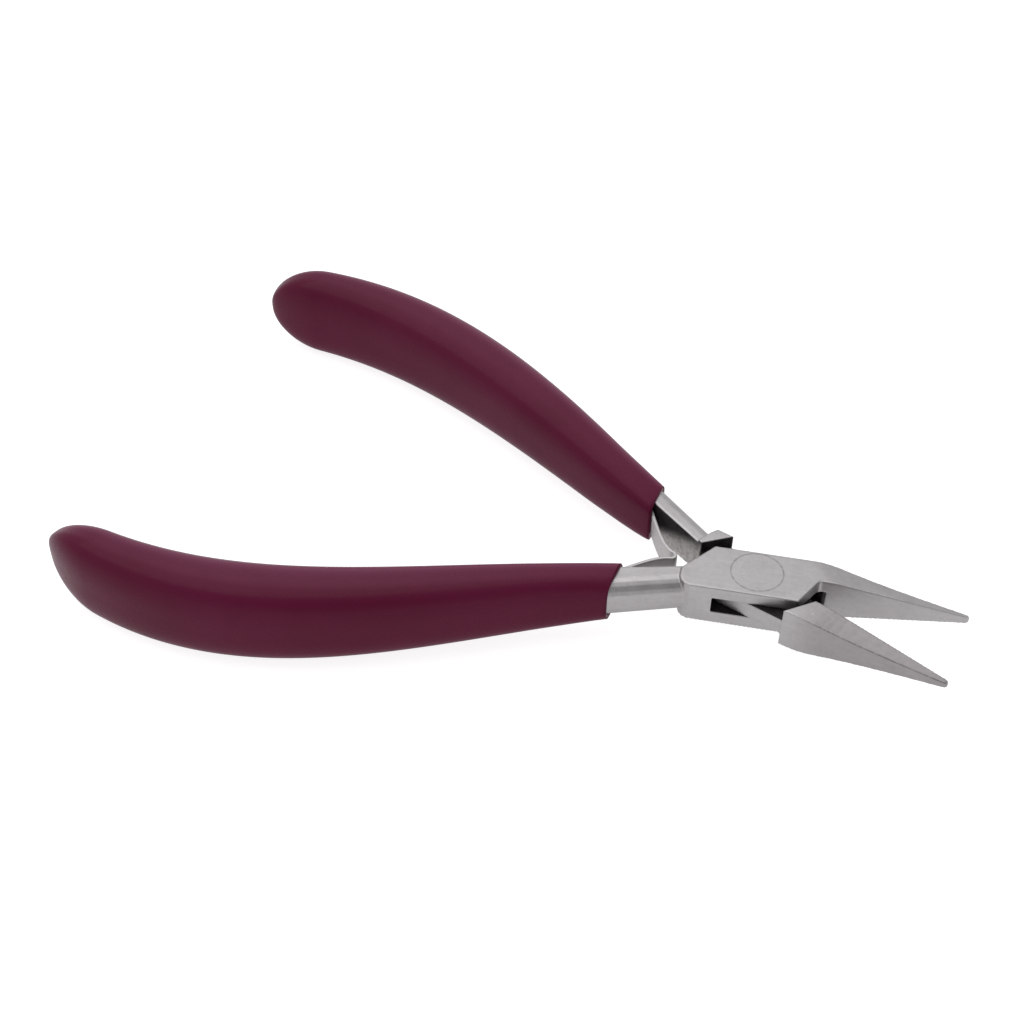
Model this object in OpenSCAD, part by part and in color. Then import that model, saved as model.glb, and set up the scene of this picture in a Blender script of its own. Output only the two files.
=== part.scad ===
// Slim box-joint jewellery pliers with smooth tapered jaws.
// Frame: origin where the pivot axis meets the flat underside of the joint, +X
// towards the jaw tips, +Z along the pivot. Drawn at rest, held open by the
// return spring. Every shape is laid out around the tool's mid plane and then
// lifted by half the joint's thickness.
// Each lever's head is laid out closed, with its gripping face on y = 0, and
// is then turned about the pivot to its place at rest.

/* [Joint] */
// Half opening of the box lever's jaw at rest, degrees
box_rest_angle = 11.5; // [10:0.1:12]
// Half opening of the through lever's jaw at rest, degrees
through_rest_angle = 12.8; // [11:0.1:13]
// Thickness of the box joint
head_thick = 7.0; // [6.6:0.1:7.6]
// Half width of the box joint
head_half_width = 4.5; // [4.4:0.05:4.6]
// How far the box sits towards its own handle
box_shift = 0.15; // [0:0.05:0.2]
// Height of the slot through the box
slot_height = 2.8; // [2.4:0.1:3.2]
// Radius of the pivot rivet
rivet_radius = 2.1; // [1.6:0.1:2.4]
// Running clearance of the waist on the rivet
pivot_gap = 0.03; // [0.02:0.01:0.08]
// Clearance above and below the waist in the slot
slot_gap = 0.06; // [0.04:0.01:0.1]

/* [Jaws] */
// Distance from the pivot to the jaw tips
jaw_len = 31.0; // [26:0.1:36]
// Thickness of a jaw at its tip
tip_thick = 1.2; // [0.8:0.1:2]
// Width of a jaw at its tip
tip_width = 0.7; // [0.5:0.1:1.2]
// Gap between the closed gripping faces
jaw_gap = 0.04; // [0.02:0.01:0.1]

/* [Shanks] */
// Width of the box lever's shank at its sleeve
box_shank_width = 5.0; // [4.8:0.1:5.2]
// Width of the through lever's shank at its sleeve
through_shank_width = 3.6; // [3.4:0.1:3.9]
// Thickness of both shanks at their sleeves
shank_thick = 6.4; // [6.2:0.1:6.8]
// Rounding of the box lever's shank, outer edges
box_shank_round = 2.3; // [1.6:0.1:2.5]
// Rounding of the through lever's shank, outer edges
through_shank_round = 1.7; // [1:0.1:1.9]

/* [Grips] */
// Width across a sleeve at its fullest
grip_width = 13.3; // [11:0.1:14]
// Thickness of a sleeve near its end
grip_thick = 14.7; // [13:0.1:15]
// Wall of a sleeve at its mouth
mouth_wall = 0.56; // [0.5:0.02:0.8]
// Place of the sleeves' mouths along X
mouth_x = -18.8; // [-19.5:0.1:-18.2]
// Squareness of the sleeve's section
grip_square = 3.2; // [2.6:0.1:4]

/* [Spring] */
// Height of the spring strip
spring_height = 4.0; // [3:0.1:5]
// Thickness of the spring strip
spring_thick = 0.5; // [0.4:0.05:0.6]

/* [Hidden] */
$fn = 48;

steel = [0.68, 0.67, 0.67];
spring_steel = [0.75, 0.75, 0.74];
sleeve_colour = [0.31, 0.12, 0.18];

mid_z = head_thick / 2;
fit_gap = 0.02;          // around the shank and tang inside a sleeve
spring_fit_gap = 0.04;   // around the spring inside a sleeve
waist_side_gap = 0.03;
waist_height = slot_height - 2 * slot_gap;
// half widths of the box, on its jaw's side and on its handle's side
box_jaw_side = head_half_width - box_shift - 0.1;
box_handle_side = head_half_width + box_shift;

// Tables with one entry for each lever, indexed by BOX and THROUGH.
BOX = 0;
THROUGH = 1;
side = [-1, 1];          // sign of y on the handle's side
rest_angle = [box_rest_angle, through_rest_angle];
// control points of the handle curves, pivot to end, y outwards
handle_curve = [
    [[-19.6, 8.95], [-49.2, 24.95], [-67.1, 42.65], [-100.1, 33.5]],
    [[-19.1, 9.3], [-44.5, 23.4], [-70.3, 41.1], [-100.1, 33.95]],
];
// where each shank leaves its head, and its slope, in the closed frame, y outwards
shank_root = [[-10.95, 0.45], [-9.85, 0.44]];
shank_lean = [13.7, 18.7];
shank_len = [13.4, 14.2];
shank_width = [box_shank_width, through_shank_width];
root_width = shank_width - [0.95, 0.4];
outer_round = [box_shank_round, through_shank_round];
inner_round = [0.2, 0.4];
// what of a shank's width its sleeve's mouth must take
mouth_width = [mix(root_width[BOX], box_shank_width, 0.67), through_shank_width + 0.4];
// shank width that the sleeve's mouth is centred on, and its shift inwards
centred_width = [mouth_width[BOX], through_shank_width];
mouth_inset = [0, 0.3];
// sleeve: half width at the mouth and end, droop and squareness at the mouth
grip_half_ends = [[2.8, 3.0], [3.1, 3.6]];
mouth_droop = [0, 0.25];
mouth_square = [grip_square + 0.4, 5];
// the shanks' roots and slopes once turned to rest, y outwards
rest_root = [for (i = [BOX, THROUGH]) turn(shank_root[i], -rest_angle[i])];
rest_lean = shank_lean + rest_angle;

// ---------- functions ----------
function mix(a, b, share) = a + (b - a) * share;
function clamp01(x) = min(1, max(0, x));
function smooth(x) = let (u = clamp01(x)) u * u * (3 - 2 * u);
// falls from 1 at s = 0 to 0 at s = reach
function fade(s, reach, power) = pow(1 - clamp01(s / reach), power);
// distance past start, begun gently over a length
function ease(x, start, length) = x < start ? 0
    : x < start + length ? pow(x - start, 2) / 2 / length
    : x - start - length / 2;
function quadratic(p, s) = pow(1 - s, 2) * p[0] + 2 * (1 - s) * s * p[1] + s * s * p[2];
function cubic(p, s) = pow(1 - s, 3) * p[0] + 3 * pow(1 - s, 2) * s * p[1]
    + 3 * (1 - s) * s * s * p[2] + pow(s, 3) * p[3];
function cubic_slope(p, s) = 3 * pow(1 - s, 2) * (p[1] - p[0])
    + 6 * (1 - s) * s * (p[2] - p[1]) + 3 * s * s * (p[3] - p[2]);
function unit(v) = v / norm(v);
function left_of(v) = [-v[1], v[0]];
function turn(v, angle) = [v[0] * cos(angle) - v[1] * sin(angle),
                           v[0] * sin(angle) + v[1] * cos(angle)];
function reversed(list) = [for (i = [len(list) - 1 : -1 : 0]) list[i]];
// height at x of a line through a point, rising towards -X
function line_y(point, lean, x) = point[1] + (point[0] - x) * tan(lean);

function signed_pow(x, power) = sign(x) * pow(abs(x), power);
function superellipse(half_width, half_height, power, count) =
    [for (i = [0 : count - 1]) let (angle = (i + 0.5) * 360 / count)
        [half_width * signed_pow(cos(angle), power),
         half_height * signed_pow(sin(angle), power)]];

// outline of a strip that runs half_width to each side of a path
function path_direction(path, i) =
    unit(path[min(i + 1, len(path) - 1)] - path[max(i - 1, 0)]);
function path_edge(path, shift) =
    [for (i = [0 : len(path) - 1]) path[i] + shift * left_of(path_direction(path, i))];
function strip(path, half_width) =
    concat(path_edge(path, half_width), reversed(path_edge(path, -half_width)));

// a closed loft through rings that all have the same number of points
module loft(rings) {
    count = len(rings[0]);
    last = len(rings) - 1;
    polyhedron(points = [for (ring = rings) each ring], faces = concat(
        [[for (i = [0 : count - 1]) i]],
        [[for (i = [count - 1 : -1 : 0]) last * count + i]],
        [for (j = [0 : last - 1], i = [0 : count - 1])
            let (a = j * count + i, b = j * count + (i + 1) % count)
            each [[a, a + count, b + count], [a, b + count, b]]]),
        convexity = 6);
}

// ---------- jaws ----------
jaw_root_x = 8.3;        // where the outer edge starts
thin_start = 10.2;       // where the jaw starts to thin, and how gently
thin_ease = 2.4;
taper_x = 10.0;          // where the straight taper has its full width
taper_width = 4.42;
width_blend = 0.3;       // softness between head side and taper
ridge_share = 0.66;      // outer ridge height over gripping face height, far out
ridge_ease = 1.2;
ridge_fade = 9;
// x stations: near the root of each edge, then shared by both
outer_xs = [jaw_root_x, 8.9, 9.5, 10.1, 10.7, 11.3, 12];
inner_xs = [9.8, 10.15, 10.5, 10.9, 11.4, 12.05];
shared_xs = concat([12.8, 13.8], [for (i = [0 : 8]) mix(15, jaw_len - 0.25, i / 8)]);

// half thickness of the gripping face
function jaw_half_thick(x) = head_thick / 2 - (head_thick - tip_thick) / 2
    * ease(x, thin_start, thin_ease) / ease(jaw_len, thin_start, thin_ease);
// width of a jaw, easing from the head's side into the taper
function jaw_width(x, half_width) =
    let (taper = tip_width + (taper_width - tip_width)
        * (jaw_len - x) / (jaw_len - taper_x) * half_width / head_half_width)
    (half_width + taper - norm([half_width - taper, width_blend])) / 2;
function ridge(x) = ridge_share
    + (1 - ridge_share) * exp(-ease(x, jaw_root_x, ridge_ease) / ridge_fade);

// outer and gripping edges of the jaw, as [x, y, half height], root to tip
function jaw_outer(half_width) = concat(
    [for (x = concat(outer_xs, shared_xs))
        [x, jaw_width(x, half_width), jaw_half_thick(x) * ridge(x)]],
    [[jaw_len, tip_width * 0.78, tip_thick * 0.2]]);
function jaw_inner(root_x) = concat(
    [for (x = concat([root_x], inner_xs, shared_xs)) [x, jaw_gap / 2, jaw_half_thick(x)]],
    [[jaw_len, tip_width * 0.28, tip_thick * 0.36]]);

// a forged head in one piece: a flat plate that runs out into a tapered jaw on
// +y. rear holds the plate's other corners, anticlockwise from the jaw's
// outer root to its inner root.
module forging(rear, inner_root_x, half_width) {
    outer = jaw_outer(half_width);
    upper = concat(outer, jaw_inner(inner_root_x),
        [for (corner = rear) [corner[0], corner[1], head_thick / 2]]);
    edge = len(outer);
    count = len(upper);
    rear_ids = [for (i = [0 : len(rear) - 1]) 2 * edge + i];
    plate = concat([0], rear_ids, [edge]);
    rim = concat([for (i = [edge - 1 : -1 : 0]) i], rear_ids,
        [for (i = [0 : edge - 1]) edge + i]);
    polyhedron(points = concat(upper, [for (p = upper) [p[0], p[1], -p[2]]]),
        faces = concat(
            // the plate's flats
            [reversed(plate), [for (i = plate) count + i]],
            // the jaw's upper and lower faces
            [for (i = [0 : edge - 2]) each [
                [edge + i + 1, edge + i, i],
                [edge + i + 1, i, i + 1],
                [count + i, count + edge + i, count + edge + i + 1],
                [count + i + 1, count + i, count + edge + i + 1]]],
            // the wall around the rim
            [for (i = [0 : count - 1]) let (a = rim[i], b = rim[(i + 1) % count])
                each [[a, b, count + b], [a, count + b, count + a]]]),
        convexity = 6);
}

// ---------- shanks and tangs ----------
root_thinning = 0.3;     // how much thinner a shank is at its root

function corner(x, y, radius, start) = [for (i = [0 : 5])
    [x + radius * cos(start + i * 18), y + radius * sin(start + i * 18)]];
// section of a shank grown by gap: its inner side on 0, outer edges rounded
function shank_ring(lever, width, thick, gap) = let (
    outer = outer_round[lever],
    inner = inner_round[lever],
    outer_y = thick / 2 - outer,
    inner_y = thick / 2 - inner)
    concat(corner(width - outer, outer_y, outer + gap, 0),
        corner(inner, inner_y, inner + gap, 90),
        corner(inner, -inner_y, inner + gap, 180),
        corner(width - outer, -outer_y, outer + gap, 270));

// straight shank in the closed frame, widening towards its sleeve; start is
// measured along it from the root
module shank(lever, start, gap = 0) {
    lean = shank_lean[lever];
    along = [-cos(lean), sin(lean)];
    outwards = [sin(lean), cos(lean)];
    end = shank_len[lever] + gap;
    loft([for (reach = [start, end])
        let (width = mix(root_width[lever], shank_width[lever], reach / end),
            thick = mix(shank_thick - root_thinning, shank_thick, reach / end))
        [for (q = shank_ring(lever, width, thick, gap))
            let (p = shank_root[lever] + along * reach + outwards * q[0])
            [p[0], side[lever] * p[1], -side[lever] * q[1]]]]);
}

// offset that brings the start of a handle curve onto the middle of its shank
// and the spring's tail, which share the sleeve's mouth
mouth_offset = [for (i = [BOX, THROUGH]) let (
    lean = rest_lean[i],
    start = handle_curve[i][0],
    middle = rest_root[i] + [sin(lean), cos(lean)] * (centred_width[i] - spring_thick) / 2)
    [0, line_y(middle, lean, start[0]) - start[1] - mouth_inset[i]]];

// centre of a handle, s from 0 to 1: its curve, eased onto the shank at the mouth
function handle_centre(lever, s) =
    cubic(handle_curve[lever], s) + mouth_offset[lever] * fade(s, 0.15, 2);
function handle_direction(lever, s) = unit(cubic_slope(handle_curve[lever], s));

handle_len = 90;         // nominal length of a handle curve
tang_span = [0.012, 0.88];
tang_steps = 14;
// half size of a tang: swells from one size to the next, then narrows by taper
function tang_half(sizes, reach, taper, s) =
    mix(sizes[0], sizes[1], smooth(s / reach)) * (1 - taper * smooth((s - 0.6) / 0.4));
function tang_ring(lever, s, gap) = let (
    centre = handle_centre(lever, s),
    across = left_of(handle_direction(lever, s)),
    half_width = tang_half([0.95, 2.6], 0.4, 0.35, s) + gap,
    half_height = tang_half([2.7, 3.2], 0.5, 0.25, s) + gap)
    [for (q = superellipse(half_width, half_height, 0.6, 16))
        let (p = centre + across * q[0])
        [p[0], side[lever] * p[1], side[lever] * q[1]]];

// tapered tang that follows the handle curve inside the sleeve
module tang(lever, gap = 0) {
    loft([for (j = [0 : tang_steps])
        let (s = mix(tang_span[0], tang_span[1], j / tang_steps)
            + (j == tang_steps ? gap / handle_len : 0))
        tang_ring(lever, s, gap)]);
}

// ---------- sleeves ----------
cap_len = 10;            // length of the rounded end
sleeve_sides = 28;
sleeve_steps = 30;
sleeve_crowding = 1.7;   // draws the rings towards the end

function sleeve_ring(lever, s) = let (
    centre = handle_centre(lever, s),
    along = handle_direction(lever, s),
    at_mouth = fade(s, 0.1, 1.5),
    droop = mouth_droop[lever] * fade(s, 0.3, 2),
    cap = sqrt(1 - pow(1 - clamp01((1 - s) * handle_len / cap_len), 2)),
    ends = grip_half_ends[lever],
    half_width = cap * mix(cubic([ends[0], 5.0, grip_width / 2, ends[1]], s),
        (mouth_width[lever] + spring_thick) / 2 + mouth_wall, at_mouth),
    half_height = cap * mix(quadratic([4.3, grip_thick / 2 + 0.2, grip_thick / 2 - 0.1], s),
        shank_thick / 2 + mouth_wall, at_mouth),
    square = mix(grip_square, mouth_square[lever], at_mouth))
    [for (q = superellipse(half_width, half_height, 2 / square, sleeve_sides)) let (
        edge = centre + left_of(along) * q[0],
        // slides the first rings along so that the mouth is cut square to X
        p = edge + along * (mouth_x - edge[0]) / along[0] * at_mouth)
        [p[0], side[lever] * p[1], side[lever] * q[1] - droop]];

module sleeve_body(lever) {
    loft([for (j = [0 : sleeve_steps])
        let (s = 1 - pow(1 - j / sleeve_steps, sleeve_crowding))
        sleeve_ring(lever, min(s, 0.9995))]);
}

// ---------- spring ----------
fold_centre = [-13.2, 0];
fold_radius = 0.7;
tail_x = -19.4;          // where an arm runs into its straight tail
tail_len = 3.2;
shank_clear = 0.02;      // between the tail and the shank's inner face

// one arm, from the fold out to its tail under a sleeve, y outwards
function arm(lever) = let (
    lean = rest_lean[lever],
    bend = [tail_x, line_y(rest_root[lever], lean, tail_x)
        - (spring_thick / 2 + shank_clear) / cos(lean)],
    curve = [fold_centre + [0, fold_radius], [-15.4, 1.5],
        bend + 2.4 * [cos(lean + 22), -sin(lean + 22)], bend])
    concat([for (i = [0 : 10]) cubic(curve, i / 10)],
        [for (i = [1 : 2]) bend + [-cos(lean), sin(lean)] * tail_len * i / 2]);
fold = [for (i = [1 : 7]) let (angle = 90 - i * 22.5)
    fold_centre + fold_radius * [cos(angle), sin(angle)]];
spring_path = concat(reversed(arm(THROUGH)), fold, [for (p = arm(BOX)) [p[0], -p[1]]]);

module spring_strip(gap = 0) {
    linear_extrude(spring_height + 2 * gap, center = true)
        polygon(strip(spring_path, spring_thick / 2 + gap));
}

// ---------- levers ----------
// plan outlines as [x, y], in the closed frame
box_rear = [
    [-6.6, box_jaw_side], [-10.95, -1.05], [-11.0, -2.8], [-10.75, -3.65],
    [-10.15, -4.35], [-9.3, -box_handle_side], [6.37, -box_handle_side], [8.85, -0.35],
];
slot_outline = [
    [-5.85, -5.4], [10.5, -5.4], [10.5, -0.1], [5.2, 5.0], [5.2, 5.4],
    [-12.4, 5.4], [-12.4, 0], [-10.2, 0], [-5.85, -4.75],
];
shoulder_outline = [
    shank_root[THROUGH], [-6.55, head_half_width], [-9.3, head_half_width],
    [-9.85, 3.4], [-10.5, 0.75],
];
waist_outline = [
    [-5.4, -head_half_width + waist_side_gap], [7.25, -head_half_width + waist_side_gap],
    [9.9, -0.6], [10.2, -0.15],
    [5.7, box_jaw_side - waist_side_gap], [-6.7, box_jaw_side - waist_side_gap],
    [-10.0, 0.6], [-9.8, 0.12],
];

// slot for the waist, open to both sides, the front and the back
module slot() linear_extrude(slot_height, center = true) polygon(slot_outline);

module bore(radius) cylinder(r = radius, h = head_thick + 2, center = true);

module box_lever() color(steel) translate([0, 0, mid_z]) {
    // box and jaw
    rotate(box_rest_angle) difference() {
        forging(box_rear, 9.5, box_jaw_side);
        slot();
        bore(rivet_radius);
    }
    rotate(box_rest_angle) difference() {
        shank(BOX, start = -1.5);
        slot();
    }
    tang(BOX);
}

module through_lever() color(steel) translate([0, 0, mid_z]) {
    rotate(-through_rest_angle) difference() {
        union() {
            // rear shoulder with its ear
            linear_extrude(head_thick, center = true) polygon(shoulder_outline);
            linear_extrude(waist_height, center = true) polygon(waist_outline);
            // jaw, its back face set to meet the front of the box
            mirror([0, 1, 0]) forging([[6.78, head_half_width]], 9.62, head_half_width);
            shank(THROUGH, start = 0.75);
        }
        bore(rivet_radius + pivot_gap);
    }
    tang(THROUGH);
}

module pivot_rivet() color(steel) cylinder(r = rivet_radius, h = head_thick);

// ---------- grips and spring ----------
// a sleeve, hollowed for its shank, tang and spring tail
module grip(lever) difference() {
    sleeve_body(lever);
    rotate(-side[lever] * rest_angle[lever]) shank(lever, start = 4, gap = fit_gap);
    tang(lever, fit_gap);
    spring_strip(spring_fit_gap);
}

module box_grip() color(sleeve_colour) translate([0, 0, mid_z]) grip(BOX);

module through_grip() color(sleeve_colour) translate([0, 0, mid_z]) grip(THROUGH);

module return_spring() color(spring_steel) translate([0, 0, mid_z]) spring_strip();

box_lever();
through_lever();
pivot_rivet();
box_grip();
through_grip();
return_spring();
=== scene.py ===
"""Small hand tool with a box joint, two vinyl grip sleeves and a return spring.

The joint's pivot is the z axis and its underside lies near z = 0. The jaws point along +x
and the grips along -x: the box lever's grip lies at -y, the through lever's at +y.
Shape sizes are in mm, about the tool's mid plane. Blender objects are in metres.
"""
import bpy, bmesh, math
from functools import cached_property
from types import SimpleNamespace
from mathutils import Vector, Matrix


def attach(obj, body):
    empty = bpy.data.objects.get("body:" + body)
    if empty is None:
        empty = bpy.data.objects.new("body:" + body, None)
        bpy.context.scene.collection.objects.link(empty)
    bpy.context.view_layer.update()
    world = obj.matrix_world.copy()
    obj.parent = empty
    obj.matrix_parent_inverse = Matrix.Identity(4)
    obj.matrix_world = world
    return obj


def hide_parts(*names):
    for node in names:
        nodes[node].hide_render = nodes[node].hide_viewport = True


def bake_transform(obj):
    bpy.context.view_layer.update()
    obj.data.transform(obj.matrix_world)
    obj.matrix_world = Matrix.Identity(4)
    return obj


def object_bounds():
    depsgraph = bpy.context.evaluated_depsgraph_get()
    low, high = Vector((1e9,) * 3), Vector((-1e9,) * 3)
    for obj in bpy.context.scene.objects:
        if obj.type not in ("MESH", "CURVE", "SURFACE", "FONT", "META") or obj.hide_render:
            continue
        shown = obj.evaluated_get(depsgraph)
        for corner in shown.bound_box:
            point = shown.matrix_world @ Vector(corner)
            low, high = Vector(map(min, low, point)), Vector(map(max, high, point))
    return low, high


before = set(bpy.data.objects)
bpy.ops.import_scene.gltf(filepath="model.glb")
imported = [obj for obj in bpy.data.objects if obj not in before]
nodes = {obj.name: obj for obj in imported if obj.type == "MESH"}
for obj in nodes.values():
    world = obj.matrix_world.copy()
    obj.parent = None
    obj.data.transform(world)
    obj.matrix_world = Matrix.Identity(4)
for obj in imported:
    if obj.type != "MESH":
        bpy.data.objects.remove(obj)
cad_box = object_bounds()
scene = bpy.context.scene

# --------------------------------------------------------------- sizes, mm
MM = 1000                # mm in a metre
LIFT = 3.5               # the tool's mid plane above the joint's underside
SHANK_T = 6.4            # shank height along z

SPRING_T, SPRING_H = 0.5, 4.0
SPRING_CORNER = 0.13     # rounding of the strip's section
SPRING_GAP = 0.02        # between the strip and the shank
FOLD_X, FOLD_R = -13.2, 0.7
SPRING_BEND_X = -19.4    # where an arm starts to run straight along its shank
SPRING_TAIL = 3.2        # length of that straight run

GRIP_W, GRIP_T = 13.3, 14.7
GRIP_L, GRIP_CAP = 90, 10.0    # nominal length, and length of the rounded far end
GRIP_SQUARE = 3.2        # superellipse power of the grip's section
GRIP_WALL = 0.56
MOUTH_X = -18.8

# Each lever is described with its grip at +y; side mirrors it into place.
BOX = SimpleNamespace(
    name="box", side=-1,
    rest=11.5,                # degrees it stands open
    lean=13.7,                # degrees between the x axis and its closed shank
    root=(-10.95, 0.45),      # front end of the shank's inner face, closed: x, y
    forged_x=-10.6,           # the inner face is bare forged metal behind this x
    shank_w=4.6865,           # width that centres the sleeve on the shank
    mouth_w=4.6865,           # width of the shank and its gap inside the sleeve's mouth
    shift=0.0,                # further y shift of the sleeve's mouth
    sag=0.0,                  # drop of the sleeve's mouth along z
    mouth_square=GRIP_SQUARE + 0.4,
    half_widths=(2.8, 5.0, GRIP_W / 2, 3.0),    # Bezier values, mouth to far end
    curve=((-19.6, 8.95), (-49.2, 24.95), (-67.1, 42.65), (-100.1, 33.5)),
)
THROUGH = SimpleNamespace(
    name="through", side=1, rest=12.8, lean=18.7, root=(-9.85, 0.44), forged_x=-9.6,
    shank_w=3.6, mouth_w=4.0, shift=-0.3, sag=0.25, mouth_square=5,
    half_widths=(3.1, 5.0, GRIP_W / 2, 3.6),
    curve=((-19.1, 9.3), (-44.5, 23.4), (-70.3, 41.1), (-100.1, 33.95)),
)
HALF_HEIGHTS = (4.3, GRIP_T / 2 + 0.2, GRIP_T / 2 - 0.1)    # as half_widths

# Rolled lip of a sleeve, from inside the mouth outwards: inset, slide towards the far end.
LIP = ((1.05, 1.6), (1.0, 0.9), (0.72, 0.45), (0.56, 0.2), (0.42, 0.06),
       (0.3, 0.0), (0.19, 0.02), (0.09, 0.09), (0.03, 0.18))

# Upper half of the rivet's profile, up to the pole: radius, z.
RIVET_HALF = ((2.09, 2.9), (2.13, 3.1), (2.3, 3.4), (2.42, 3.485), (2.43, 3.498),
              (2.42, 3.505), (2.4, 3.506), (2.36, 3.506), (1.2, 3.506))
RIVET_TOP = 3.506
RIVET_R = 2.42           # radius of the hairline around the rivet


# ---------------------------------------------------------------- geometry
def mix(a, b, k):
    return a + (b - a) * k


def fade(s, reach, power):
    """1 at s = 0, falling to 0 at s = reach."""
    return (1 - min(1.0, s / reach)) ** power


def bezier(values, s):
    while len(values) > 1:
        values = [mix(a, b, s) for a, b in zip(values, values[1:])]
    return values[0]


def bezier_point(curve, s):
    return [bezier(axis, s) for axis in zip(*curve)]


def direction(a, b):
    """Unit vector from a to b."""
    dx, dy = b[0] - a[0], b[1] - a[1]
    length = math.hypot(dx, dy)
    return dx / length, dy / length


def bezier_direction(curve, s):
    steps = [(b[0] - a[0], b[1] - a[1]) for a, b in zip(curve, curve[1:])]
    return direction((0, 0), bezier_point(steps, s))


def beside(point, along, distance):
    """The point moved at right angles to a unit direction."""
    return point[0] - along[1] * distance, point[1] + along[0] * distance


def signed_power(v, power):
    return math.copysign(abs(v) ** power, v)


def shank_y(lever, x, out):
    """y at x of the line lying `out` mm outside the open shank's inner face."""
    rest = math.radians(lever.rest)
    tilt = math.radians(lever.lean + lever.rest)
    root_x, root_y = lever.root
    open_x = root_x * math.cos(rest) + root_y * math.sin(rest)
    open_y = root_y * math.cos(rest) - root_x * math.sin(rest)
    return open_y + (open_x - x) * math.tan(tilt) + out / math.cos(tilt)


def ring_quads(rings, count, first=0):
    """Quads joining consecutive rings of `count` vertices."""
    faces = []
    for row in range(first, first + (rings - 1) * count, count):
        for i in range(count):
            k = (i + 1) % count
            faces.append((row + i, row + k, row + count + k, row + count + i))
    return faces


def mesh_object(name, verts, faces):
    """Smooth shaded object from vertices in mm about the mid plane."""
    mesh = bpy.data.meshes.new(name)
    mesh.from_pydata([(x / MM, y / MM, (z + LIFT) / MM) for x, y, z in verts], [], faces)
    mesh.validate()
    ob = bpy.data.objects.new(name, mesh)
    scene.collection.objects.link(ob)
    bm = bmesh.new()
    bm.from_mesh(mesh)
    bmesh.ops.remove_doubles(bm, verts=bm.verts, dist=1e-7)
    bmesh.ops.recalc_face_normals(bm, faces=bm.faces)
    bm.to_mesh(mesh)
    bm.free()
    for face in mesh.polygons:
        face.use_smooth = True
    return ob


# ------------------------------------------------------------ grip sleeves
def sleeve_ring(lever, s, count, inset=0.0, slide=0.0):
    """Section at s along the sleeve; inset draws it in, slide moves it along."""
    curve = lever.curve
    along = bezier_direction(curve, s)
    start_x, start_y = curve[0]
    shank_mid = shank_y(lever, start_x, (lever.shank_w - SPRING_T) / 2)
    centre_x, centre_y = bezier_point(curve, s)
    centre_y += (shank_mid + lever.shift - start_y) * fade(s, 0.15, 2)
    mouth = fade(s, 0.1, 1.5)
    cap = min(1.0, (1 - s) * GRIP_L / GRIP_CAP)
    dome = math.sqrt(1 - (1 - cap) ** 2)
    sag = lever.sag * fade(s, 0.3, 2)
    mouth_half = lever.mouth_w / 2 + SPRING_T / 2 + GRIP_WALL
    width = mix(bezier(lever.half_widths, s), mouth_half, mouth) * dome - inset
    height = mix(bezier(HALF_HEIGHTS, s), SHANK_T / 2 + GRIP_WALL, mouth) * dome - inset
    power = 2 / mix(GRIP_SQUARE, lever.mouth_square, mouth)
    ring = []
    for i in range(count):
        angle = (i + 0.5) * 2 * math.pi / count
        x, y = beside((centre_x, centre_y), along, width * signed_power(math.cos(angle), power))
        z = height * signed_power(math.sin(angle), power)
        # the mouth is cut square to the x axis
        slip = (MOUTH_X - x) / along[0] * mouth + slide
        ring.append((x + along[0] * slip, lever.side * (y + along[1] * slip),
                     lever.side * z - sag))
    return ring


def sleeve(lever):
    count, steps = 144, 190
    first_s, last_s = 0.0045, 0.9996
    rings = [sleeve_ring(lever, 0.0, count, inset, slide) for inset, slide in LIP]
    for j in range(steps + 1):
        # rings crowd together towards the far end
        s = first_s + (last_s - first_s) * (1 - (1 - j / steps) ** 1.55)
        rings.append(sleeve_ring(lever, s, count))
    verts = [vert for ring in rings for vert in ring]
    faces = ring_quads(len(rings), count)
    # close the far end, and the inside of the mouth
    for row, at_mouth in ((len(rings) - 1, False), (0, True)):
        centre = len(verts)
        verts.append(tuple(sum(axis) / count for axis in zip(*rings[row])))
        for i in range(count):
            a, b = row * count + i, row * count + (i + 1) % count
            faces.append((b, a, centre) if at_mouth else (a, b, centre))
    ob = mesh_object(f"{lever.name}_grip_sleeve", verts, faces)
    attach(ob, f"{lever.name}_side")
    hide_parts(f"{lever.name}_grip")
    return ob


# ----------------------------------------------------------- return spring
def spring_arm(lever):
    """Centre line from the fold to the arm's end, at +y."""
    tilt = math.radians(lever.lean + lever.rest)
    entry = tilt + math.radians(22)
    handle = 2.4
    x = SPRING_BEND_X
    y = shank_y(lever, x, -(SPRING_T / 2 + SPRING_GAP))
    curve = ((FOLD_X, FOLD_R), (-15.4, 1.5),
             (x + handle * math.cos(entry), y - handle * math.sin(entry)), (x, y))
    points = [bezier_point(curve, i / 30) for i in range(31)]
    for i in range(1, 5):
        run = SPRING_TAIL * i / 4
        points.append((x - math.cos(tilt) * run, y + math.sin(tilt) * run))
    return points


def spring_section():
    """Rounded rectangle: across the strip, along z."""
    x, z = SPRING_T / 2 - SPRING_CORNER, SPRING_H / 2 - SPRING_CORNER
    section = []
    for corner_x, corner_z, start in ((x, z, 0), (-x, z, 90), (-x, -z, 180), (x, -z, 270)):
        for i in range(5):
            angle = math.radians(start + i * 22.5)
            section.append((corner_x + SPRING_CORNER * math.cos(angle),
                            corner_z + SPRING_CORNER * math.sin(angle)))
    return section


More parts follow.
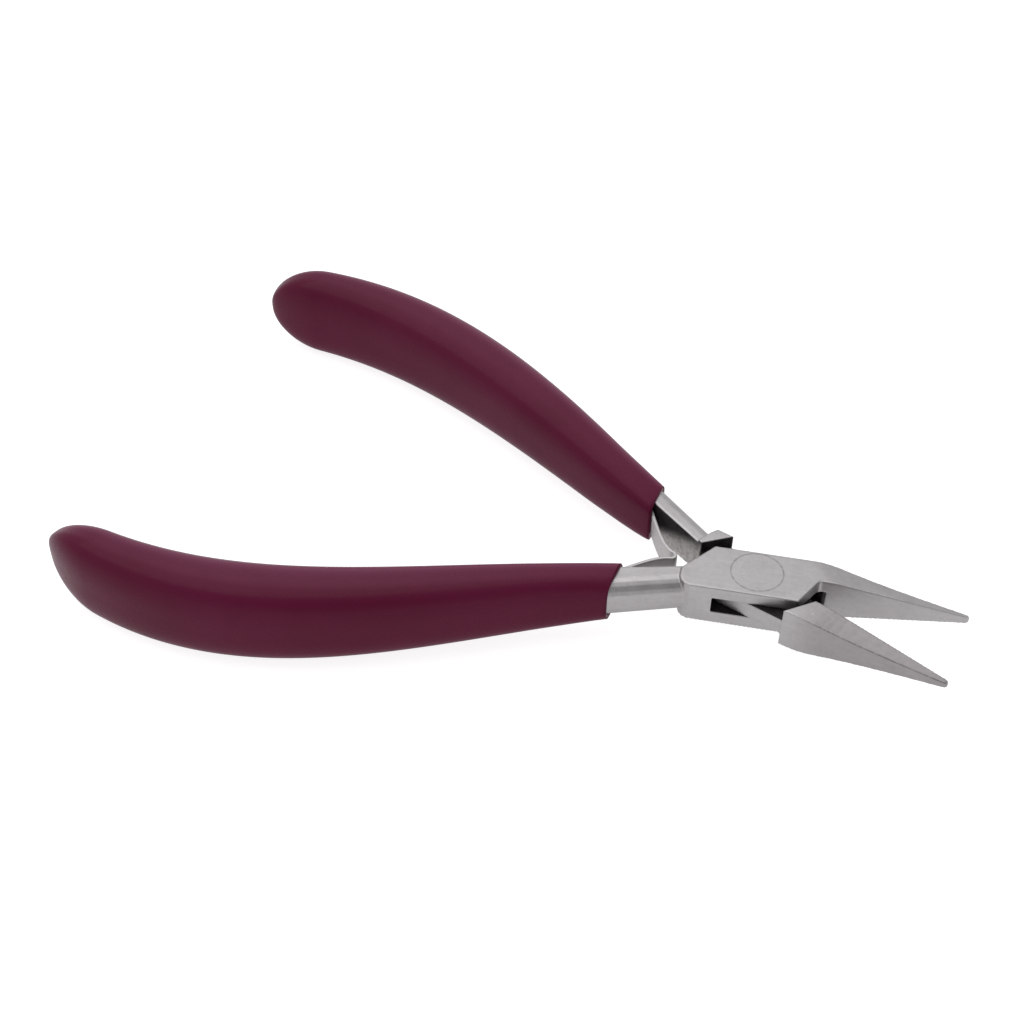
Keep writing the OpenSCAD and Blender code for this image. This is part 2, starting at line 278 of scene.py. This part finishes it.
def spring():
    """Flat strip folded behind the joint, one arm inside each shank."""
    angles = [math.radians(90 - i * 11.25) for i in range(1, 16)]
    fold = [(FOLD_X + FOLD_R * math.cos(a), FOLD_R * math.sin(a)) for a in angles]
    path = spring_arm(THROUGH)[::-1] + fold + [(x, -y) for x, y in spring_arm(BOX)]
    section = spring_section()
    count, last = len(section), len(path) - 1
    verts = []
    for i, point in enumerate(path):
        along = direction(path[max(0, i - 1)], path[min(last, i + 1)])
        verts += [(*beside(point, along, across), z) for across, z in section]
    faces = ring_quads(len(path), count)
    faces.append(tuple(range(count - 1, -1, -1)))
    faces.append(tuple(last * count + i for i in range(count)))
    ob = mesh_object("return_spring_strip", verts, faces)
    for face in ob.data.polygons:
        if len(face.vertices) > 4:    # the two end faces
            face.use_smooth = False
    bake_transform(ob)
    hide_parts("return_spring")
    return ob


# ------------------------------------------------------------------- rivet
def rivet():
    """Turned pin whose ends lie flush with the joint's faces."""
    count = 96
    profile = [(radius, -z) for radius, z in reversed(RIVET_HALF)] + list(RIVET_HALF)
    verts = [(0, 0, -RIVET_TOP)]
    for radius, z in profile:
        for i in range(count):
            angle = 2 * math.pi * i / count
            verts.append((radius * math.cos(angle), radius * math.sin(angle), z))
    top = len(verts)
    verts.append((0, 0, RIVET_TOP))
    pairs = [(i, (i + 1) % count) for i in range(count)]
    faces = [(0, 1 + k, 1 + i) for i, k in pairs]
    faces += ring_quads(len(profile), count, first=1)
    faces += [(top - count + i, top - count + k, top) for i, k in pairs]
    ob = mesh_object("pivot_rivet_pin", verts, faces)
    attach(ob, "box_side")
    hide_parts("pivot_rivet")
    return ob


sleeves = [sleeve(BOX), sleeve(THROUGH)]
spring_ob = spring()
rivet_ob = rivet()


# ---------------------------------------------------------- shader helpers
def srgb(*levels):
    """Linear colour from 0-255 sRGB levels."""
    def linear(c):
        c /= 255.0
        return c / 12.92 if c <= 0.04045 else ((c + 0.055) / 1.055) ** 2.4
    return (*map(linear, levels), 1.0)


class Graph:
    """Writes shader nodes; each value may be a socket to link or a constant."""
    def __init__(self, tree):
        self.tree = tree

    def set(self, node, inputs):
        for key, value in inputs.items():
            if isinstance(value, bpy.types.NodeSocket):
                self.tree.links.new(value, node.inputs[key])
            else:
                node.inputs[key].default_value = value

    def node(self, kind, inputs=None, **settings):
        node = self.tree.nodes.new("ShaderNode" + kind)
        for key, value in settings.items():
            setattr(node, key, value)
        self.set(node, inputs or {})
        return node

    def math(self, operation, *values):
        if len(values) == 1:
            values += (0.0,)
        return self.node("Math", dict(enumerate(values)), operation=operation).outputs[0]

    def add(self, a, b):
        return self.math("ADD", a, b)

    def mul(self, a, b):
        return self.math("MULTIPLY", a, b)

    def ramp(self, factor, *stops):
        node = self.node("ValToRGB", {0: factor})
        elements = node.color_ramp.elements
        while len(elements) < len(stops):
            elements.new(0.5)
        for element, (position, color) in zip(elements, stops):
            element.position = position
            element.color = color
        return node.outputs[0]

    def remap(self, value, span, to, kind="LINEAR"):
        return self.node("MapRange", dict(enumerate((value, *span, *to))),
                         interpolation_type=kind).outputs[0]

    def mix(self, factor, a, b, blend="MIX"):
        return self.node("Mix", {0: factor, 6: a, 7: b},
                         data_type="RGBA", blend_type=blend).outputs[2]

    def noise(self, vector, scale, detail, rough):
        return self.node("TexNoise", {"Vector": vector, "Scale": scale, "Detail": detail,
                                      "Roughness": rough}).outputs[0]

    def mapping(self, vector, scale, turn=0.0):
        return self.node("Mapping", {"Vector": vector, "Rotation": (0, 0, turn),
                                     "Scale": scale}).outputs[0]

    def object_normal(self, output):
        """Components of a Geometry normal in object space."""
        normal = self.node("NewGeometry").outputs[output]
        turned = self.node("VectorTransform", {0: normal}, vector_type="NORMAL",
                           convert_from="WORLD", convert_to="OBJECT").outputs[0]
        return self.node("SeparateXYZ", {0: turned}).outputs

    def bump(self, height, distance):
        return self.node("Bump", {"Strength": 0.25, "Distance": distance,
                                  "Height": height}).outputs[0]


def new_material(name):
    mat = bpy.data.materials.new(name)
    mat.use_nodes = True
    mat.node_tree.nodes.clear()
    g = Graph(mat.node_tree)
    output = g.node("OutputMaterial")
    bsdf = g.node("BsdfPrincipled")
    g.set(output, {0: bsdf.outputs[0]})
    return mat, g, bsdf


class Place:
    """Position in a lever's closed frame, in mm, and masks of 0 to 1 made from it.

    A plane is vertical, given as (x, y, normal x, normal y).
    """
    def __init__(self, g, turn_deg):
        self.g = g
        self.raw = g.node("TexCoord").outputs["Object"]
        self.turned = g.mapping(self.raw, scale=(MM, MM, MM), turn=math.radians(turn_deg))

    @cached_property
    def xyz(self):
        return self.g.node("SeparateXYZ", {0: self.turned}).outputs

    @property
    def x(self):
        return self.xyz[0]

    @property
    def y(self):
        return self.xyz[1]

    @cached_property
    def z(self):
        return self.g.math("SUBTRACT", self.xyz[2], LIFT)

    @cached_property
    def abs_z(self):
        return self.g.math("ABSOLUTE", self.z)

    def below(self, value, limit, soft=0.06):
        return self.g.remap(value, span=(limit - soft, limit + soft), to=(1.0, 0.0))

    def above(self, value, limit, soft=0.06):
        return self.g.remap(value, span=(limit - soft, limit + soft), to=(0.0, 1.0))

    def fold(self, operation, masks):
        out = masks[0]
        for mask in masks[1:]:
            out = self.g.math(operation, out, mask)
        return out

    def all(self, *masks):
        return self.fold("MULTIPLY", masks)

    def any(self, *masks):
        return self.fold("MAXIMUM", masks)

    def distance(self, plane):
        """Signed distance from a plane."""
        x, y, normal_x, normal_y = plane
        g = self.g
        part = g.mul(g.math("SUBTRACT", self.x, x), normal_x)
        return g.math("MULTIPLY_ADD", g.math("SUBTRACT", self.y, y), normal_y, part)

    def on_plane(self, plane):
        return self.below(self.g.math("ABSOLUTE", self.distance(plane)), 0.14, soft=0.04)

    def on_inner_face(self, lever):
        """The side of the lever's shank that faces the other lever."""
        lean = math.radians(lever.lean)
        return self.on_plane((lever.root[0], lever.side * lever.root[1],
                              math.sin(lean), lever.side * math.cos(lean)))


# ------------------------------------------------------- painted shade in the joint
SLOT_REAR = (-10.2, 0, 0.7375, 0.6754)
SLOT_FRONT = (10.5, -0.1, 0.6934, 0.7206)
BOX_FRONT_WALL = (6.37, -4.65, 0.866, -0.5)
THROUGH_SHOULDER = (*THROUGH.root, 0.776, -0.631)
THROUGH_JAW_BACK = (6.78, -4.5, -0.8446, 0.535)
# Lower edge of the painted dark reflection on the through shank: rise per mm of x, and a point
# on it.
EDGE_RISE, EDGE_X, EDGE_Z = 0.44, -17.7, -0.8


def box_painted_shade(p):
    """Painted shade inside the joint's slot, and on the wall in front of it, stronger lower
    down on the wall.
    """
    slot = p.all(p.below(p.abs_z, 1.46, soft=0.03),
                 p.above(p.y, -4.52), p.below(p.y, 4.1),
                 p.below(p.x, 9.9, soft=0.1), p.above(p.x, -10.6, soft=0.1),
                 p.above(p.distance(SLOT_REAR), -0.35, soft=0.04),
                 p.below(p.distance(SLOT_FRONT), 0.14, soft=0.04))
    wall = p.all(p.on_plane(BOX_FRONT_WALL),
                 p.above(p.y, -4.5, soft=0.1), p.below(p.y, 0.1, soft=0.3),
                 p.g.remap(p.z, span=(-1.4, 3.5), to=(0.95, 0.5)))
    return p.any(slot, wall)


def through_painted_shade(p):
    """Painted shade on the waist, the shoulder behind it and the jaw's back; a painted dark
    reflection on the shank's inner face.
    """
    g = p.g
    abs_normal_z = g.math("ABSOLUTE", g.object_normal("True Normal")[2])
    waist = p.all(p.below(p.abs_z, 1.45, soft=0.03), p.above(abs_normal_z, 0.6, soft=0.2),
                  p.above(p.y, -4.4), p.below(p.y, 4.2), p.below(p.x, 9.6, soft=0.2))
    shoulder = p.all(p.on_plane(THROUGH_SHOULDER),
                     p.above(p.x, -9.8, soft=0.1), p.below(p.x, -6.6, soft=0.1),
                     p.below(p.abs_z, 3.42, soft=0.05))
    jaw_back = p.all(p.on_plane(THROUGH_JAW_BACK),
                     p.above(p.y, -4.4, soft=0.1), p.below(p.y, 0.0, soft=0.2))
    # painted dark reflection along the top, fading into bare forged metal below
    edge = g.math("MULTIPLY_ADD", p.x, EDGE_RISE, EDGE_Z - EDGE_RISE * EDGE_X)
    inner = p.all(p.on_inner_face(THROUGH),
                  g.remap(g.math("SUBTRACT", p.z, edge), span=(-0.8, 1.4), to=(0.0, 0.96),
                          kind="SMOOTHSTEP"))
    return p.any(waist, shoulder, jaw_back, inner)


def painted_shade_look(g, co):
    """Colour and height of the painted shade: near black with grey flecks."""
    broad = g.noise(co, scale=700, detail=4, rough=0.6)
    grain = g.noise(co, scale=4200, detail=3, rough=0.6)
    black = g.ramp(broad, (0.35, srgb(30, 27, 27)), (0.7, srgb(56, 52, 52)))
    flecks = g.remap(grain, span=(0.6, 0.78), to=(0.0, 0.4))
    return g.mix(flecks, black, srgb(84, 80, 79)), grain


# ------------------------------------------------------------------- steel
def forged_look(g, co):
    """Colour and height of rough forged metal."""
    broad = g.noise(co, scale=1500, detail=5, rough=0.7)
    grain = g.noise(co, scale=4500, detail=4, rough=0.6)
    color = g.ramp(broad, (0.35, srgb(160, 156, 155)), (0.52, srgb(188, 185, 183)),
                   (0.72, srgb(212, 209, 207)))
    return color, g.math("MULTIPLY_ADD", broad, 2.2, grain)


def etch_mark(g, p, stain):
    """Hairline around the flush rivet and an etched ring outside it, on top only."""
    radius = g.math("SQRT", g.add(g.math("POWER", p.x, 2.0), g.math("POWER", p.y, 2.0)))

    def circle(centre, span, strength):
        off = g.math("ABSOLUTE", g.math("SUBTRACT", radius, centre))
        return g.remap(off, span=span, to=(strength, 0.0))

    top = g.remap(p.z, span=(3.3, 3.4), to=(0.0, 1.0))
    hairline = circle(RIVET_R, span=(0.02, 0.06), strength=0.1)
    ring = circle(3.85, span=(0.06, 0.17), strength=0.5)
    ring = g.mul(ring, g.remap(stain, span=(0.35, 0.6), to=(0.5, 1.0)))
    return g.mul(g.math("MAXIMUM", hairline, ring), top)


def steel(name, turn_deg, tone=11, edge_wear_and_highlight=0.4, front_tint=None, etched=False,
          forged_lever=None, painted_shade_mask=None):
    """Satin steel brushed along x once turned by turn_deg; tone lifts its sRGB levels."""
    mat, g, bsdf = new_material(name)
    p = Place(g, turn_deg)
    co = p.raw
    along = g.mapping(p.turned, scale=(0.07, 1, 1))
    fine = g.noise(along, scale=9, detail=4, rough=0.6)
    coarse = g.noise(along, scale=2.0, detail=3, rough=0.55)
    blotch = g.noise(co, scale=260, detail=3, rough=0.5)
    stain = g.noise(co, scale=1300, detail=4, rough=0.65)
    grit = g.noise(co, scale=5200, detail=2, rough=0.5)

    def gray(*levels):
        return srgb(*(level + tone for level in levels))

    base = g.ramp(blotch, (0.3, gray(170, 166, 168)), (0.7, gray(182, 179, 180)))
    for pattern, span, most, color in (
            (stain, (0.42, 0.75), 0.28, gray(142, 140, 141)),
            (coarse, (0.35, 0.7), 0.16, gray(200, 198, 198)),
            (grit, (0.55, 0.8), 0.25, gray(206, 204, 204))):
        base = g.mix(g.remap(pattern, span=span, to=(0.0, most)), base, color)
    if front_tint:
        # a multiplied darker tint ahead of the joint
        front = g.remap(p.x, span=(7.0, 13.0), to=(0.0, 1.0), kind="SMOOTHSTEP")
        base = g.mix(front, base, front_tint, blend="MULTIPLY")
    if edge_wear_and_highlight:
        # rubbed edges and a painted edge highlight: brighter on convex edges
        edge = g.remap(g.node("NewGeometry").outputs["Pointiness"],
                       span=(0.53, 0.62), to=(0.0, 1.0))
        base = g.mix(g.mul(edge, edge_wear_and_highlight), base, srgb(222, 221, 221))
    rough = g.add(g.remap(fine, span=(0.3, 0.7), to=(0.36, 0.5)),
                  g.remap(blotch, span=(0.3, 0.7), to=(-0.04, 0.06)))
    # relief: fine and coarse brushing, then grit
    height = g.add(g.mul(fine, 0.55), g.mul(coarse, 0.3))
    height = g.math("MULTIPLY_ADD", grit, 0.25, height)
    metal = 1.0
    if etched:
        mark = etch_mark(g, p, stain)
        base = g.mix(mark, base, srgb(104, 101, 101))
        height = g.math("MULTIPLY_ADD", mark, -1.6, height)
    if forged_lever:
        mask = p.all(p.on_inner_face(forged_lever),
                     p.below(p.x, forged_lever.forged_x, soft=0.2))
        color, relief = forged_look(g, co)
        base = g.mix(mask, base, color)
        rough = g.add(rough, g.mul(mask, 0.12))
        height = g.add(height, g.mul(mask, relief))
    # painted shade: the masked faces turn near black, rougher and less metallic
    if painted_shade_mask:
        mask = painted_shade_mask(p)
        color, relief = painted_shade_look(g, co)
        base = g.mix(mask, base, color)
        rough = g.add(rough, g.mul(mask, 0.16))
        metal = g.math("SUBTRACT", 1.0, g.mul(mask, 0.45))
        height = g.add(height, g.mul(mask, relief))
    g.set(bsdf, {"Base Color": base, "Metallic": metal, "Roughness": rough,
                 "Normal": g.bump(height, distance=0.00003)})
    return mat


# ------------------------------------------------------------------- vinyl
def vinyl(name):
    mat, g, bsdf = new_material(name)
    co = g.node("TexCoord").outputs["Object"]
    big = g.noise(co, scale=60, detail=2, rough=0.5)
    mid = g.noise(co, scale=420, detail=3, rough=0.5)
    fine = g.noise(co, scale=3800, detail=4, rough=0.6)
    base = g.ramp(big, (0.3, srgb(94, 22, 51)), (0.7, srgb(100, 26, 57)))
    base = g.mix(g.remap(mid, span=(0.4, 0.8), to=(0.0, 0.22)), base, srgb(86, 17, 46))
    # painted highlight: a lighter pink on top and underneath, towards +y
    normal = g.object_normal("Normal")
    painted_highlight = g.mul(g.remap(g.math("ABSOLUTE", normal[2]), span=(0.6, 0.85), to=(0.0, 1.0),
                          kind="SMOOTHSTEP"),
                  g.remap(normal[1], span=(-0.16, 0.3), to=(0.0, 0.85), kind="SMOOTHSTEP"))
    rough = g.add(g.remap(fine, span=(0.3, 0.7), to=(0.24, 0.33)),
                  g.remap(mid, span=(0.3, 0.7), to=(-0.03, 0.04)))
    height = g.add(g.mul(fine, 0.35), g.mul(mid, 0.65))
    g.set(bsdf, {"Base Color": g.mix(painted_highlight, base, srgb(124, 64, 90)),
                 "Roughness": rough, "Specular IOR Level": 0.1,
                 "Sheen Weight": 0.03, "Sheen Roughness": 0.35,
                 "Sheen Tint": srgb(240, 190, 215),
                 "Normal": g.bump(height, distance=0.00006)})
    return mat


def dress(ob, mat):
    """Finish a forged lever, softening its edges."""
    ob.data.materials.clear()
    ob.data.materials.append(mat)
    skin = ob.modifiers.new("skin", "REMESH")
    skin.mode = "VOXEL"
    skin.voxel_size = 0.00013
    skin.adaptivity = 0.0
    skin.use_smooth_shade = True
    polish = ob.modifiers.new("polish", "SMOOTH")
    polish.factor = 0.5
    polish.iterations = 3


box_turn = BOX.side * BOX.rest
box_steel = steel("satin_steel_box", box_turn, etched=True, forged_lever=BOX,
                  painted_shade_mask=box_painted_shade)
through_steel = steel("satin_steel_through", THROUGH.side * THROUGH.rest,
                      front_tint=srgb(227, 224, 225), forged_lever=THROUGH,
                      painted_shade_mask=through_painted_shade)
rivet_steel = steel("satin_steel_rivet", box_turn, edge_wear_and_highlight=0, etched=True)
# the strip's higher tone is painted light: the same steel made lighter because the strip stands
# lit
spring_steel = steel("spring_steel_strip", -90, tone=22, edge_wear_and_highlight=0.1)
grip_vinyl = vinyl("burgundy_vinyl")

for ob in sleeves:
    ob.data.materials.append(grip_vinyl)
spring_ob.data.materials.append(spring_steel)
dress(nodes["box_lever"], box_steel)
dress(nodes["through_lever"], through_steel)
rivet_ob.data.materials.append(rivet_steel)


# ------------------------------------------------------- stage, in metres
def add_floor():
    """Pale square floor just under the tool, brighter to the camera than to the tool."""
    half, gap = 3, 0.00002
    z = min(cad_box[0][2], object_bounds()[0][2]) - gap
    mesh = bpy.data.meshes.new("floor")
    mesh.from_pydata([(-half, -half, z), (half, -half, z), (half, half, z), (-half, half, z)],
                     [], [(0, 1, 2, 3)])
    floor = bpy.data.objects.new("floor", mesh)
    scene.collection.objects.link(floor)
    mat, g, bsdf = new_material("pale_floor")
    seen = g.node("LightPath").outputs["Is Camera Ray"]
    g.set(bsdf, {"Base Color": (0.55, 0.55, 0.55, 1), "Emission Color": (1, 1, 1, 1),
                 "Emission Strength": g.remap(seen, span=(0.0, 1.0), to=(0.46, 0.84)),
                 "Roughness": 0.9, "Specular IOR Level": 0.1})
    mesh.materials.append(mat)


def sky_direction(azimuth, elevation):
    """Unit vector from angles in degrees; azimuth turns from -y towards +x."""
    az, el = math.radians(azimuth), math.radians(elevation)
    return (math.sin(az) * math.cos(el), -math.cos(az) * math.cos(el), math.sin(el))


def add_world():
    """An even white room, dim on the camera's side."""
    world = bpy.data.worlds.new("studio")
    scene.world = world
    world.use_nodes = True
    g = Graph(world.node_tree)
    facing = g.node("VectorMath", {0: g.node("TexCoord").outputs["Generated"],
                                   1: sky_direction(azimuth=22.8, elevation=43.2)},
                    operation="DOT_PRODUCT").outputs["Value"]
    strength = g.remap(facing, span=(0.7, 0.98), to=(0.62, 0.2), kind="SMOOTHSTEP")
    g.set(world.node_tree.nodes["Background"], {0: (1, 1, 1, 1), 1: strength})


def add_key_light():
    light = bpy.data.lights.new("key", "AREA")
    light.shape = "RECTANGLE"
    light.size, light.size_y = 1.2, 0.9
    light.energy = 3.2
    ob = bpy.data.objects.new("key", light)
    scene.collection.objects.link(ob)
    ob.location = (-0.35, 0.15, 0.9)
    aim = Vector((-0.03, 0, 0)) - Vector((-0.35, 0.15, 0.9))
    ob.rotation_euler = aim.to_track_quat("-Z", "Y").to_euler()


def add_camera():
    camera = bpy.data.cameras.new("camera")
    camera.sensor_width = 36
    camera.lens = 57.30
    camera.clip_start = 0.01
    ob = bpy.data.objects.new("camera", camera)
    scene.collection.objects.link(ob)
    roll = math.radians(0.524)
    back = Vector(sky_direction(azimuth=22.825, elevation=43.197))
    right = (-back).cross(Vector((0, 0, 1))).normalized()
    up = right.cross(-back)
    rolled_right = right * math.cos(roll) + up * math.sin(roll)
    rolled_up = -right * math.sin(roll) + up * math.cos(roll)
    pose = Matrix((rolled_right, rolled_up, back)).transposed().to_4x4()
    pose.translation = Vector((0.03198, -0.16858, 0.17266 + LIFT / MM))
    ob.matrix_world = pose
    scene.camera = ob


add_floor()
add_world()
add_key_light()
add_camera()
scene.view_settings.view_transform = "Standard"
scene.view_settings.look = "None"
